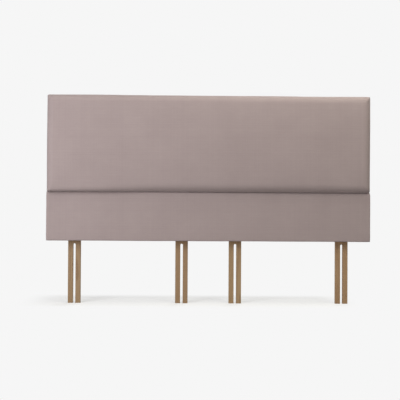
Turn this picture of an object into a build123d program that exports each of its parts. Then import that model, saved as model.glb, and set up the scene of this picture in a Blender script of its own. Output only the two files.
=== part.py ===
from build123d import *
import math
import os

os.makedirs("parts", exist_ok=True)

# Upholstered headboard for a wide divan bed, on four slotted struts, in millimetres.
# +Z is up and the padded front faces -Y. The origin is on the floor, under the
# middle of the headboard's box. A reach is a distance forward of the frame's back.

# Overall sizes
board_width = 1800
padded_height = 537
plain_height = 273
leg_drop = 350

# Timber frame and its plywood front
rail_width = 60
rail_depth = 28
panel_thick = 9
batten_lap = 5
stud_shares = (-1 / 4, 0, 1 / 4)

# Foam, wadding and cover
pad_foam_thick = 45
crown_up = 5
crown_across = 3
pad_roll = 42
plain_foam_thick = 8
plain_roll = 7
wadding_thick = 3
cover_thick = 1.2
layer_gap = 0.2
least_roll = 0.5
back_margin = 45
seam_gap = 1

# Seam between the padded part and the plain part
tuck_depth = 20
turn_in = 15
tack_strip_width = 12
tack_strip_thick = 1.5

# Back cloth
back_cloth_thick = 0.6
back_cloth_inset = 15

# Struts
strut_inset = 150
strut_width = 70
strut_thick = 20
strut_head_gap = 19
strut_edge = 2
slot_width = 14
slot_edge = 0.8
slot_setback = 17

# Strut bolts, washers and tee nuts
low_bolt_rise = 90
bolt_end_distance = 44
bolt_radius = 4
bolt_head_width = 13
bolt_head_sides = 6
bolt_head_height = 5.3
bolt_head_edge = 0.5
bolt_clearance = 0.5
bolt_tip_setback = 0.8
thread_clearance = 0.05
washer_radius = 12
washer_thick = 2
tee_flange_radius = 11
tee_flange_thick = 1.5
tee_barrel_radius = 5
tee_barrel_length = 9
tee_prong_length = 6
tee_prong_width = 3
tee_prong_thick = 1.2
tee_prong_count = 4

# Dowels
dowel_radius = 4
dowel_length = 40
dowel_clearance = 0.05
dowel_end_clearance = 1

# Panel screws
screw_radius = 2
screw_head_radius = 4
screw_head_height = 2.2
screw_length = 25
screw_clearance = 0.05
rail_screw_shares = (-1 / 3, -1 / 6, 1 / 6, 1 / 3)
stile_screw_shares = (1 / 6, 1 / 2, 5 / 6)

# Staples
staple_width = 10
staple_wire = 0.8
staple_leg = 8
staple_spacing = 60
cover_staple_inset = 34
cloth_staple_inset = 22

overrun = 10

# Levels and places that follow from these sizes
layers = cover_thick + layer_gap + wadding_thick + layer_gap
board_bottom = leg_drop
seam_height = board_bottom + plain_height
total_height = seam_height + padded_height
plain_top = seam_height - seam_gap
half_board = board_width / 2
panel_front = rail_depth + panel_thick
plain_reach = panel_front + plain_foam_thick + layers
padded_reach = panel_front + pad_foam_thick + crown_up + crown_across + layers
strut_length = seam_height - strut_head_gap
bolt_levels = (board_bottom + low_bolt_rise, strut_length - bolt_end_distance)
strut_front = -cover_thick - back_cloth_thick
strut_back = strut_front - strut_thick
back_reach = -(strut_back - washer_thick - bolt_head_height)
frame_back = (padded_reach - back_reach) / 2

frame_half = half_board - layers
frame_low = board_bottom + layers
frame_high = total_height - layers
rail_end = frame_half - rail_width
bottom_rail_top = frame_low + rail_width
middle_rail_low = seam_height - rail_width / 2
middle_rail_top = seam_height + rail_width / 2
top_rail_low = frame_high - rail_width
rail_levels = (frame_low + rail_width / 2, seam_height, frame_high - rail_width / 2)

sides = ("outer_left", "inner_left", "inner_right", "outer_right")
strut_centres = (strut_inset - half_board, -strut_inset, strut_inset, half_board - strut_inset)
batten_width = strut_width + 2 * batten_lap
stud_centres = [board_width * share for share in stud_shares]


def slab(left, right, low, high, back, front, mode=Mode.ADD):
    """A block between these places across and up, and between two reaches."""
    with Locations(((left + right) / 2, frame_back - (back + front) / 2, (low + high) / 2)):
        Box(right - left, front - back, high - low, mode=mode)


def rod(across, height, radius, back, front, mode=Mode.ADD):
    """A round bar that lies front to back, between two reaches."""
    with Locations((across, frame_back - (back + front) / 2, height)):
        Cylinder(radius, front - back, rotation=(90, 0, 0), mode=mode)


def padded_block(inset, back):
    """The padded part, this far inside its cover: a front crowned both ways, with rolled edges."""
    width = board_width - 2 * inset
    low = seam_height + inset
    high = total_height - inset
    reach = padded_reach - inset
    bend = (width**2 / 4 + crown_across**2) / (2 * crown_across)
    middle = (0, frame_back - reach + bend, 0)
    turn = math.asin((width / 2 + overrun) / bend)
    outward = (-math.sin(turn), -math.cos(turn), 0)
    normal = (-math.cos(turn), math.sin(turn), 0)
    inner = bend - reach + back - overrun
    with BuildPart() as block:
        with BuildSketch(Plane(origin=middle, x_dir=outward, z_dir=normal)):
            with BuildLine():
                ThreePointArc(
                    (bend - crown_up, high), (bend, (low + high) / 2), (bend - crown_up, low)
                )
                Polyline(
                    (bend - crown_up, low), (inner, low), (inner, high), (bend - crown_up, high)
                )
            make_face()
        revolve(axis=Axis(middle, (0, 0, 1)), revolution_arc=math.degrees(2 * turn))
        slab(-width / 2, width / 2, low, high, back, reach + overrun, mode=Mode.INTERSECT)
        front = block.faces().sort_by(Axis.Y)[0]
        fillet(front.edges(), radius=max(pad_roll - inset, least_roll))
    return block.part


def plain_block(inset, back):
    """The plain part, this far inside its cover: a flat front with small rolled edges."""
    half = half_board - inset
    with BuildPart() as block:
        slab(-half, half, board_bottom + inset, plain_top - inset, back, plain_reach - inset)
        front = block.faces().sort_by(Axis.Y)[0]
        fillet(front.edges(), radius=max(plain_roll - inset, least_roll))
    return block.part


def spread(start, end):
    """Staple places between two ends, evenly spaced, half a step from each end."""
    count = max(1, round((end - start) / staple_spacing))
    step = (end - start) / count
    return [start + step * (2 * n + 1) / 2 for n in range(count)]


def one_staple():
    """A staple along X, its crown's outer face on the XZ plane and its legs towards -Y."""
    with BuildPart() as staple:
        with BuildSketch(Plane.XY):
            with Locations((0, -staple_leg / 2)):
                Rectangle(staple_width, staple_leg)
            with Locations((0, -(staple_leg + staple_wire) / 2)):
                Rectangle(
                    staple_width - 2 * staple_wire, staple_leg - staple_wire, mode=Mode.SUBTRACT
                )
        extrude(amount=staple_wire / 2, both=True)
    return staple.part


def staples(spots_along, spots_up, outer, turn=0):
    """Staples that lie along X or stand up, with their crowns' outer faces at a reach."""
    form = one_staple()
    y = frame_back - outer
    along = [Location((x, y, z), (0, 0, turn)) for x, z in spots_along]
    upright = [Location((x, y, z), (0, 90, turn)) for x, z in spots_up]
    with BuildPart() as group:
        with Locations(*along, *upright):
            add(form)
    return group.part


def near(piece, tools):
    """The tools whose boxes meet the piece's box, so that each cut stays small."""
    box = piece.bounding_box()
    found = []
    for tool in tools:
        other = tool.bounding_box()
        apart_x = other.max.X < box.min.X or other.min.X > box.max.X
        apart_y = other.max.Y < box.min.Y or other.min.Y > box.max.Y
        apart_z = other.max.Z < box.min.Z or other.min.Z > box.max.Z
        if not (apart_x or apart_y or apart_z):
            found.append(tool)
    return found


def cut(maker, tools):
    """Cut these tools from the piece being made, where they reach it."""
    close = near(maker.part, tools)
    if close:
        add(close, mode=Mode.SUBTRACT)


# Dowels, two to each joint of the frame, and their holes, which are a little larger
def dowels(radius, length):
    middle = frame_back - rail_depth / 2
    along = [
        (side * rail_end, middle, level + offset)
        for side in (-1, 1)
        for level in rail_levels
        for offset in (-rail_width / 4, rail_width / 4)
    ]
    batten_joints = [
        (centre + offset, middle, level)
        for centre in strut_centres
        for level in (bottom_rail_top, middle_rail_low)
        for offset in (-batten_width / 4, batten_width / 4)
    ]
    stud_joints = [
        (centre + offset, middle, level)
        for centre in stud_centres
        for level in (middle_rail_top, top_rail_low)
        for offset in (-rail_width / 4, rail_width / 4)
    ]
    with BuildPart() as group:
        with Locations(along):
            Cylinder(radius, length, rotation=(0, 90, 0))
        with Locations(batten_joints + stud_joints):
            Cylinder(radius, length)
    return group.part


frame_dowels = dowels(dowel_radius, dowel_length)
frame_dowels.label = "frame_dowels"
export_step(frame_dowels, "parts/frame_dowels.step")
dowel_holes = dowels(dowel_radius + dowel_clearance, dowel_length + 2 * dowel_end_clearance)


# Countersunk screws that hold the plywood front on the frame, and their holes
def screws(clearance):
    on_rails = [(board_width * share, level) for share in rail_screw_shares for level in rail_levels]
    stile_middle = frame_half - rail_width / 2
    on_stiles = [
        (side * stile_middle, frame_low + (frame_high - frame_low) * share)
        for side in (-1, 1)
        for share in stile_screw_shares
    ]
    on_studs = [(centre, (middle_rail_top + top_rail_low) / 2) for centre in stud_centres]
    spots = on_rails + on_stiles + on_studs
    shank_y = frame_back - panel_front + (screw_length + clearance) / 2
    head_y = frame_back - panel_front + screw_head_height / 2
    with BuildPart() as group:
        with Locations([(x, shank_y, z) for x, z in spots]):
            Cylinder(screw_radius + clearance, screw_length + clearance, rotation=(90, 0, 0))
        with Locations([(x, head_y, z) for x, z in spots]):
            Cone(
                screw_radius + clearance,
                screw_head_radius + clearance,
                screw_head_height,
                rotation=(90, 0, 0),
            )
    return group.part


panel_screws = screws(0)
panel_screws.label = "panel_screws"
export_step(panel_screws, "parts/panel_screws.step")
screw_holes = screws(screw_clearance)

# Staples through the turned margins of the covers, sunk flush, clear of the seam
column_edge = half_board - cover_staple_inset
row_end = half_board - back_margin
cover_rows = [
    (x, z)
    for x in spread(-row_end, row_end)
    for z in (board_bottom + cover_staple_inset, total_height - cover_staple_inset)
]
cover_columns = [
    (side * column_edge, z)
    for side in (-1, 1)
    for z in spread(board_bottom + back_margin, plain_top)
    + spread(seam_height, total_height - back_margin)
]
cover_staples = staples(cover_rows, cover_columns, -cover_thick)
cover_staples.label = "cover_staples"
export_step(cover_staples, "parts/cover_staples.step")

# Staples round the back cloth, left out where the struts cross its bottom edge
strut_clear = strut_width / 2 + staple_width
cloth_edge = half_board - cloth_staple_inset
top_row = [(x, total_height - cloth_staple_inset) for x in spread(-row_end, row_end)]
bottom_row = [
    (x, board_bottom + cloth_staple_inset)
    for x in spread(-row_end, row_end)
    if all(abs(x - centre) > strut_clear for centre in strut_centres)
]
cloth_columns = [
    (side * cloth_edge, z)
    for side in (-1, 1)
    for z in spread(board_bottom + back_margin, total_height - back_margin)
]
back_cloth_staples = staples(top_row + bottom_row, cloth_columns, strut_front - staple_wire)
back_cloth_staples.label = "back_cloth_staples"
export_step(back_cloth_staples, "parts/back_cloth_staples.step")

# Staples along the seam, turned to go back through the tack strip and both covers
strip_top = plain_top - cover_thick - layer_gap
strip_low = strip_top - tack_strip_width
turn_back = panel_front + cover_thick + layer_gap
strip_back = turn_back + cover_thick + layer_gap
strip_front = strip_back + tack_strip_thick
seam_spots = [(x, (strip_top + strip_low) / 2) for x in spread(-frame_half, frame_half)]
seam_staples = staples(seam_spots, [], strip_front + staple_wire, turn=180)
seam_staples.label = "seam_staples"
export_step(seam_staples, "parts/seam_staples.step")


# Tee nuts, knocked in from the front of the plywood, and their pockets
def tee_nuts(centre, clearance):
    flange_back = panel_front - tee_flange_thick
    barrel_back = flange_back - tee_barrel_length - clearance
    prong_ring = (tee_barrel_radius + tee_flange_radius) / 2
    with BuildPart() as pair:
        for height in bolt_levels:
            rod(centre, height, tee_flange_radius + clearance, flange_back, panel_front)
            rod(centre, height, tee_barrel_radius + clearance, barrel_back, panel_front)
            prong_middle = (centre, frame_back - flange_back + tee_prong_length / 2, height)
            with Locations(Plane(origin=prong_middle, x_dir=(1, 0, 0), z_dir=(0, -1, 0))):
                with PolarLocations(prong_ring, tee_prong_count):
                    Box(tee_prong_thick, tee_prong_width, tee_prong_length)
    return pair.part


# Each strut's holes: two bolt holes from behind the strut to the plywood's front
def bolt_holes(centre):
    with BuildPart() as pair:
        for height in bolt_levels:
            rod(centre, height, bolt_radius + bolt_clearance, strut_back - overrun, panel_front)
    return pair.part


all_bolt_holes = []
all_tee_pockets = []
for centre in strut_centres:
    all_bolt_holes += bolt_holes(centre).solids()
    all_tee_pockets += tee_nuts(centre, thread_clearance).solids()

frame_cuts = (
    dowel_holes.solids()
    + screw_holes.solids()
    + cover_staples.solids()
    + back_cloth_staples.solids()
    + all_bolt_holes
    + all_tee_pockets
)


# Frame members, of planed softwood
def member(name, left, right, low, high):
    with BuildPart() as timber:
        slab(left, right, low, high, 0, rail_depth)
        cut(timber, frame_cuts)
    timber.part.label = name
    export_step(timber.part, f"parts/{name}.step")


member("frame_left_stile", -frame_half, -rail_end, frame_low, frame_high)
member("frame_right_stile", rail_end, frame_half, frame_low, frame_high)
member("frame_bottom_rail", -rail_end, rail_end, frame_low, bottom_rail_top)
member("frame_middle_rail", -rail_end, rail_end, middle_rail_low, middle_rail_top)
member("frame_top_rail", -rail_end, rail_end, top_rail_low, frame_high)
for side, centre in zip(sides, strut_centres):
    left = centre - batten_width / 2
    right = centre + batten_width / 2
    member(f"strut_batten_{side}", left, right, bottom_rail_top, middle_rail_low)
for place, centre in zip(("left", "middle", "right"), stud_centres):
    left = centre - rail_width / 2
    right = centre + rail_width / 2
    member(f"upper_stud_{place}", left, right, middle_rail_top, top_rail_low)

# Plywood front, screwed to the frame and the seat of both foams
with BuildPart() as front_panel:
    slab(-frame_half, frame_half, frame_low, frame_high, rail_depth, panel_front)
    cut(front_panel, screw_holes.solids() + seam_staples.solids() + all_bolt_holes + all_tee_pockets)
front_panel.part.label = "front_panel"
export_step(front_panel.part, "parts/front_panel.step")

# Room behind the plain part's layers, at the seam, for the tucked covers and the strip
wadding_out = cover_thick + layer_gap
wadding_in = wadding_out + wadding_thick
wadding_half = half_board - wadding_in
tuck_low = seam_height - tuck_depth - layer_gap
tuck_front = strip_front + staple_wire + layer_gap


def tuck_room():
    slab(
        -wadding_half,
        wadding_half,
        tuck_low,
        seam_height + overrun,
        -overrun,
        tuck_front,
        mode=Mode.SUBTRACT,
    )


# Deep foam of the padded part, crowned a little both ways
pad_form = padded_block(layers, 0)
with BuildPart() as pad_foam:
    add(pad_form)
    slab(-half_board, half_board, seam_height, total_height, -overrun, panel_front, Mode.SUBTRACT)
pad_foam.part.label = "pad_foam"
export_step(pad_foam.part, "parts/pad_foam.step")

# Wadding over the deep foam and round the frame's sides and top
wadding_outside = padded_block(wadding_out, 0)
wadding_inside = padded_block(wadding_in, -overrun)
with BuildPart() as upper_wadding:
    add(wadding_outside)
    add(wadding_inside, mode=Mode.SUBTRACT)
    slab(
        -wadding_half,
        wadding_half,
        seam_height,
        seam_height + wadding_in,
        -overrun,
        panel_front,
        Mode.SUBTRACT,
    )
upper_wadding.part.label = "upper_wadding"
export_step(upper_wadding.part, "parts/upper_wadding.step")

# Upper cover, turned round the frame's back, with a flange tucked down behind the seam
cover_outside = padded_block(0, -cover_thick)
cover_inside = padded_block(cover_thick, 0)
cover_half = half_board - cover_thick
with BuildPart() as upper_cover:
    add(cover_outside)
    add(cover_inside, mode=Mode.SUBTRACT)
    slab(
        -row_end,
        row_end,
        seam_height - overrun,
        total_height - back_margin,
        -overrun,
        0,
        Mode.SUBTRACT,
    )
    slab(
        -cover_half,
        cover_half,
        seam_height - overrun,
        seam_height + cover_thick,
        0,
        panel_front,
        Mode.SUBTRACT,
    )
    slab(
        -frame_half,
        frame_half,
        seam_height - tuck_depth,
        seam_height + cover_thick,
        panel_front,
        panel_front + cover_thick,
    )
    cut(upper_cover, cover_staples.solids() + back_cloth_staples.solids() + seam_staples.solids())
upper_cover.part.label = "upper_cover"
export_step(upper_cover.part, "parts/upper_cover.step")

# Thin foam of the plain part
plain_form = plain_block(layers, 0)
with BuildPart() as plain_foam:
    add(plain_form)
    slab(-half_board, half_board, board_bottom, seam_height, -overrun, panel_front, Mode.SUBTRACT)
    tuck_room()
plain_foam.part.label = "plain_foam"
export_step(plain_foam.part, "parts/plain_foam.step")

# Wadding over the thin foam and round the frame's sides and bottom
plain_wadding_outside = plain_block(wadding_out, 0)
plain_wadding_inside = plain_block(wadding_in, -overrun)
with BuildPart() as lower_wadding:
    add(plain_wadding_outside)
    add(plain_wadding_inside, mode=Mode.SUBTRACT)
    tuck_room()
lower_wadding.part.label = "lower_wadding"
export_step(lower_wadding.part, "parts/lower_wadding.step")

# Lower cover, folded in over the tack strip and turned round the frame's back
plain_cover_outside = plain_block(0, -cover_thick)
plain_cover_inside = plain_block(cover_thick, 0)
with BuildPart() as lower_cover:
    add(plain_cover_outside)
    add(plain_cover_inside, mode=Mode.SUBTRACT)
    slab(
        -row_end,
        row_end,
        board_bottom + back_margin,
        seam_height + overrun,
        -overrun,
        0,
        Mode.SUBTRACT,
    )
    slab(
        -cover_half,
        cover_half,
        plain_top - cover_thick,
        seam_height + overrun,
        0,
        turn_back,
        Mode.SUBTRACT,
    )
    slab(-frame_half, frame_half, plain_top - turn_in, plain_top, turn_back, turn_back + cover_thick)
    cut(
        lower_cover,
        cover_staples.solids()
        + back_cloth_staples.solids()
        + seam_staples.solids()
        + all_bolt_holes,
    )
lower_cover.part.label = "lower_cover"
export_step(lower_cover.part, "parts/lower_cover.step")

# Card strip that keeps the fold at the seam straight
with BuildPart() as seam_tack_strip:
    slab(-frame_half, frame_half, strip_low, strip_top, strip_back, strip_front)
    cut(seam_tack_strip, seam_staples.solids())
seam_tack_strip.part.label = "seam_tack_strip"
export_step(seam_tack_strip.part, "parts/seam_tack_strip.step")

# Dust cloth over the open back of the frame
cloth_half = half_board - back_cloth_inset
with BuildPart() as back_cloth:
    slab(
        -cloth_half,
        cloth_half,
        board_bottom + back_cloth_inset,
        total_height - back_cloth_inset,
        strut_front,
        -cover_thick,
    )
    cut(back_cloth, back_cloth_staples.solids() + all_bolt_holes)
back_cloth.part.label = "back_cloth"
export_step(back_cloth.part, "parts/back_cloth.step")

# Struts, each with a slot open at the foot for the bed's own bolt
slot_top = board_bottom - slot_setback
slot_radius = slot_width / 2
for side, centre in zip(sides, strut_centres):
    with BuildPart() as strut:
        slab(
            centre - strut_width / 2,
            centre + strut_width / 2,
            0,
            strut_length,
            strut_back,
            strut_front,
        )
        uprights = strut.edges().filter_by(Axis.Z)
        head = strut.faces().sort_by(Axis.Z)[-1]
        fillet(uprights + head.edges(), radius=strut_edge)
        slab(
            centre - slot_radius,
            centre + slot_radius,
            -overrun,
            slot_top - slot_radius,
            strut_back - overrun,
            strut_front + overrun,
            Mode.SUBTRACT,
        )
        rod(
            centre,
            slot_top - slot_radius,
            slot_radius,
            strut_back - overrun,
            strut_front + overrun,
            Mode.SUBTRACT,
        )
        by_slot = strut.edges().filter_by_position(
            Axis.X, centre - slot_radius, centre + slot_radius
        )
        rims = by_slot.filter_by_position(Axis.Z, slot_edge, slot_top)
        fillet(rims.filter_by(Axis.Y, reverse=True), radius=slot_edge)
        cut(strut, all_bolt_holes)
    strut.part.label = f"strut_{side}"
    export_step(strut.part, f"parts/strut_{side}.step")

    # Its washers
    with BuildPart() as washers:
        for height in bolt_levels:
            rod(centre, height, washer_radius, strut_back - washer_thick, strut_back)
        cut(washers, all_bolt_holes)
    washers.part.label = f"strut_washers_{side}"
    export_step(washers.part, f"parts/strut_washers_{side}.step")

    # Its two bolts, whose tips stop short of the foam
    head_front = strut_back - washer_thick
    head_back = head_front - bolt_head_height
    with BuildPart() as bolts:
        for height in bolt_levels:
            with BuildSketch(Plane((centre, frame_back - head_back, height), (1, 0, 0), (0, -1, 0))):
                RegularPolygon(bolt_head_width / 2, bolt_head_sides, major_radius=False)
            extrude(amount=bolt_head_height)
        tops = bolts.faces().filter_by(Axis.Y).group_by(Axis.Y)[-1]
        chamfer(tops.edges(), length=bolt_head_edge)
        for height in bolt_levels:
            rod(centre, height, bolt_radius, head_front, panel_front - bolt_tip_setback)
    bolts.part.label = f"strut_bolts_{side}"
    export_step(bolts.part, f"parts/strut_bolts_{side}.step")

    # Its two tee nuts
    nut_bodies = tee_nuts(centre, 0)
    with BuildPart() as nuts:
        add(nut_bodies)
        for height in bolt_levels:
            rod(
                centre,
                height,
                bolt_radius + thread_clearance,
                -overrun,
                panel_front + overrun,
                Mode.SUBTRACT,
            )
    nuts.part.label = f"tee_nuts_{side}"
    export_step(nuts.part, f"parts/tee_nuts_{side}.step")
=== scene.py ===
import math
import random

import bmesh
import bpy
import numpy as np
from mathutils import Matrix, Vector, noise


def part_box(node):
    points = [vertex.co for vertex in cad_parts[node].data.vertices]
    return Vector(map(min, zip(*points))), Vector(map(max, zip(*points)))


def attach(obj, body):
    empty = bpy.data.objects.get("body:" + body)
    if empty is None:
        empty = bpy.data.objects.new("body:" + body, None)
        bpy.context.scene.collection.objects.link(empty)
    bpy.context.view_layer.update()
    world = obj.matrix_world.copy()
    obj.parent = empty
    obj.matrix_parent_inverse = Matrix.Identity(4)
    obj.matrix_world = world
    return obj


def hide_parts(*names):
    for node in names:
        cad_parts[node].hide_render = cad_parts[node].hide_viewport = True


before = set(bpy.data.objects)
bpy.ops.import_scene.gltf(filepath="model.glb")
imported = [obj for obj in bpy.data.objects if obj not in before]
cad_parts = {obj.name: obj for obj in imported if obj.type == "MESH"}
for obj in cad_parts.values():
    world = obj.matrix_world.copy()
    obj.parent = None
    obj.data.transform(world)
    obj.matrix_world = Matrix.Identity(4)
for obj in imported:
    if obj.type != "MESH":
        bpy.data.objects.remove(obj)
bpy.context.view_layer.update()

# Upholstery cloth: a soft brushed cloth in mauve taupe, plain woven from fine yarn. Both
# covers are cut from it, and its threads follow each cover's surface through a UV map.
cloth_thick = 0.0012
yarn_pitch = 0.0009
thread_dip = 0.55
warp_tone_shift = 0.5
weft_tone_shift = 4000.5
# The dark yarn colour also serves as painted shade in the dips of the weave.
yarn_dark_and_shade = (0.353, 0.280, 0.278, 1)
yarn_light = (0.454, 0.367, 0.364, 1)
nap_colour = (1.0, 0.93, 0.92, 1)


def node(tree, kind, inputs=None, **settings):
    """Add a shader node. An input takes a value or another node's output."""
    made = tree.nodes.new("ShaderNode" + kind)
    for name, value in settings.items():
        setattr(made, name, value)
    for name, value in (inputs or {}).items():
        if isinstance(value, bpy.types.NodeSocket):
            tree.links.new(value, made.inputs[name])
        else:
            made.inputs[name].default_value = value
    return made


def value_of(tree, operation, *values):
    """The output of a Math node."""
    return node(tree, "Math", dict(enumerate(values)), operation=operation).outputs[0]


def spread_of(tree, value, low, high):
    """A value from 0 to 1, spread between two others."""
    places = {"Value": value, "To Min": low, "To Max": high}
    return node(tree, "MapRange", places).outputs["Result"]


def mix_of(tree, share, first, second):
    """Two colours mixed by a share."""
    mixed = node(tree, "Mix", {"Factor": share, 6: first, 7: second}, data_type="RGBA")
    return mixed.outputs[2]


def effect(name, takes, gives):
    """A shader node group with these named inputs and outputs, and its two end nodes."""
    tree = bpy.data.node_groups.new(name, "ShaderNodeTree")
    for label, kind in takes:
        tree.interface.new_socket(name=label, in_out="INPUT", socket_type="NodeSocket" + kind)
    for label, kind in gives:
        tree.interface.new_socket(name=label, in_out="OUTPUT", socket_type="NodeSocket" + kind)
    return tree, (tree.nodes.new("NodeGroupInput"), tree.nodes.new("NodeGroupOutput"))


def finish_named(name):
    """A new material, with its node tree and its Principled shader."""
    made = bpy.data.materials.new(name)
    made.use_nodes = True
    return made, made.node_tree, made.node_tree.nodes["Principled BSDF"]


def use_effect(tree, group, inputs):
    """Place a node group in a material."""
    return node(tree, "Group", inputs, node_tree=group)


plain_weave, (weave_in, weave_out) = effect(
    "plain_weave",
    [("Vector", "Vector"), ("Pitch", "Float")],
    [("Height", "Float"), ("Tone", "Float")],
)
threads_a_metre = value_of(plain_weave, "DIVIDE", 1, weave_in.outputs["Pitch"])
threads = node(
    plain_weave,
    "VectorMath",
    {0: weave_in.outputs["Vector"], "Scale": threads_a_metre},
    operation="SCALE",
)
thread_run = node(plain_weave, "SeparateXYZ", {0: threads.outputs[0]})
thread_turns = [value_of(plain_weave, "MULTIPLY", way, math.pi) for way in thread_run.outputs[:2]]
warp_wave, weft_wave = (
    value_of(plain_weave, "ABSOLUTE", value_of(plain_weave, "SINE", turn)) for turn in thread_turns
)
warp_count, weft_count = (value_of(plain_weave, "FLOOR", way) for way in thread_run.outputs[:2])
crossing = value_of(plain_weave, "ADD", warp_count, weft_count)
weft_on_top = value_of(plain_weave, "FLOORED_MODULO", crossing, 2)
under_weft = spread_of(plain_weave, weft_wave, thread_dip, 1)
under_warp = spread_of(plain_weave, warp_wave, thread_dip, 1)
warp_height = value_of(plain_weave, "MULTIPLY", warp_wave, under_weft)
weft_height = value_of(plain_weave, "MULTIPLY", weft_wave, under_warp)
weave_height = node(plain_weave, "Mix", {0: weft_on_top, 2: warp_height, 3: weft_height}).outputs[0]
warp_tone, weft_tone = (
    node(
        plain_weave,
        "TexWhiteNoise",
        {"W": value_of(plain_weave, "ADD", count, shift)},
        noise_dimensions="1D",
    ).outputs[0]
    for count, shift in ((warp_count, warp_tone_shift), (weft_count, weft_tone_shift))
)
yarn_tone = node(plain_weave, "Mix", {0: weft_on_top, 2: warp_tone, 3: weft_tone}).outputs[0]
plain_weave.links.new(weave_height, weave_out.inputs["Height"])
plain_weave.links.new(yarn_tone, weave_out.inputs["Tone"])

upholstery, cloth_tree, cloth_shader = finish_named("upholstery_cloth")
cloth_run = node(cloth_tree, "UVMap", uv_map="cloth_run").outputs[0]
object_place = node(cloth_tree, "TexCoord").outputs["Object"]
woven = use_effect(cloth_tree, plain_weave, {"Vector": cloth_run, "Pitch": yarn_pitch})
slub_stretch = node(cloth_tree, "Mapping", {"Vector": cloth_run, "Scale": (14, 260, 1)})
slubs = node(cloth_tree, "TexNoise", {"Vector": slub_stretch.outputs[0], "Scale": 1, "Detail": 3})
nap_lay = node(cloth_tree, "TexNoise", {"Vector": object_place, "Scale": 5, "Detail": 4, "Roughness": 0.6})
handling = node(cloth_tree, "TexNoise", {"Vector": object_place, "Scale": 38, "Detail": 3})
# The weave's height is mixed into the colour too, so the dips between the yarns are painted darker and the
# yarn tops lighter: painted shade and painted light.
tone_and_shade_spreads = (
    (woven.outputs["Tone"], 0, 0.35),
    (woven.outputs["Height"], -0.12, 0.12),
    (slubs.outputs[0], -0.1, 0.25),
    (nap_lay.outputs[0], -0.15, 0.55),
)
cloth_tone_and_shade = 0
for source, least, most in tone_and_shade_spreads:
    cloth_tone_and_shade = value_of(cloth_tree, "ADD", cloth_tone_and_shade, spread_of(cloth_tree, source, least, most))
yarn_tone_and_shade = node(cloth_tree, "Clamp", {0: cloth_tone_and_shade}).outputs[0]
cloth_tree.links.new(
    mix_of(cloth_tree, yarn_tone_and_shade, yarn_dark_and_shade, yarn_light), cloth_shader.inputs["Base Color"]
)
cloth_tree.links.new(
    spread_of(cloth_tree, handling.outputs[0], 0.72, 0.9), cloth_shader.inputs["Roughness"]
)
yarn_bump = node(
    cloth_tree,
    "Bump",
    {"Height": woven.outputs["Height"], "Strength": 0.5, "Distance": 0.00012},
)
soft_bump = node(
    cloth_tree,
    "Bump",
    {"Height": handling.outputs[0], "Strength": 0.3, "Distance": 0.0006, "Normal": yarn_bump.outputs[0]},
)
cloth_tree.links.new(soft_bump.outputs[0], cloth_shader.inputs["Normal"])
cloth_shader.inputs["Specular IOR Level"].default_value = 0.25
cloth_shader.inputs["Sheen Weight"].default_value = 0.35
cloth_shader.inputs["Sheen Roughness"].default_value = 0.4
cloth_shader.inputs["Sheen Tint"].default_value = nap_colour

# Padded cover of the headboard's upper part, pulled over deep foam and wadding, turned round
# the timber frame and stapled behind. Its lower edge rolls under to the seam and is tucked
# down behind the plain cover. The stretch over the foam is simulated.
cover_low, cover_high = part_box("upper_cover")
plain_low, plain_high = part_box("lower_cover")
cover_gap = 0.0003
seam_height = plain_high.z + cover_gap
half_width = cover_high.x
board_top = cover_high.z
cover_back = cover_high.y
panel_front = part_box("front_panel")[0].y
pad_roll = 0.048
pad_fullness = 0.56
pad_grid = (8, 120, 36, 4)
pad_drawn_in = 0.002
pad_crown_up = 0.005
pad_crown_across = 0.003
pad_swell = 0.003
pad_edge_front = cover_low.y + pad_crown_up + pad_crown_across + pad_swell
pad_low = Vector((-half_width + pad_drawn_in, pad_edge_front, seam_height))
pad_high = Vector((half_width - pad_drawn_in, cover_back, board_top))
pad_tightness = 1.4
tight_from = -0.35 * half_width
tight_run = 0.6 * half_width
stretch_frames = 20
staple_spacing = 0.06
staple_stray_share = 0.2
pinch_width = 0.009
pinch_depth = 0.0012
pinch_least_share = 0.35
pinch_sink_share = 0.5
pinch_reach = 0.012
pinch_front = 0.005
seam_hold = 0.04
margin_width = 0.045
margin_rows = 5
side_turn_in = 0.004
flange_drop = 0.02
lip_drop_share = 0.8
corner_crease = 0.8
fold_reach = 0.06
fold_band = 0.02
fold_depth = 0.006
smooth_below = math.radians(50)

# How near counts as touching, how straight as along an axis, how square as facing it, and how
# many parts an edge is cut into at a time.
hair = 1e-5
border_ease = 1e-4
seam_ease = 2e-3
least_depth = 1e-6
straight_share = 0.9999
square_share = 0.99
most_parts = 100
first_parts = 4


def take(piece):
    """Make this the one selected piece."""
    bpy.ops.object.select_all(action="DESELECT")
    piece.select_set(True)
    bpy.context.view_layer.objects.active = piece


def select_edges(piece, wanted):
    """In edit mode, select just the edges that the test wants, given their two ends."""
    bpy.ops.mesh.select_mode(type="EDGE")
    bpy.ops.mesh.select_all(action="DESELECT")
    form = bmesh.from_edit_mesh(piece.data)
    for edge in form.edges:
        if wanted(edge.verts[0].co, edge.verts[1].co, edge.is_boundary):
            edge.select_set(True)
    bmesh.update_edit_mesh(piece.data)


def delete_faces(piece, wanted):
    """In edit mode, delete the faces that the test wants, given centre and normal."""
    bpy.ops.mesh.select_mode(type="FACE")
    bpy.ops.mesh.select_all(action="DESELECT")
    form = bmesh.from_edit_mesh(piece.data)
    for face in form.faces:
        face.select_set(wanted(face.calc_center_median(), face.normal))
    bmesh.update_edit_mesh(piece.data)
    bpy.ops.mesh.delete(type="FACE")


def runs_along(a, b, axis, share=0.9):
    """Whether at least this share of an edge's run is along one axis."""
    run = b - a
    return abs(run[axis]) > share * run.length


def cut_rings(piece, axis, parts, beyond=-1):
    """Cut all edges straight along an axis, from a depth on, into equal parts, many in two goes."""
    first = 1 if parts <= most_parts else first_parts
    for count in (first, parts // first):
        if count > 1:
            select_edges(
                piece,
                lambda a, b, border: runs_along(a, b, axis, straight_share) and min(a.y, b.y) > beyond,
            )
            bpy.ops.mesh.subdivide(number_cuts=count - 1)


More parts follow.
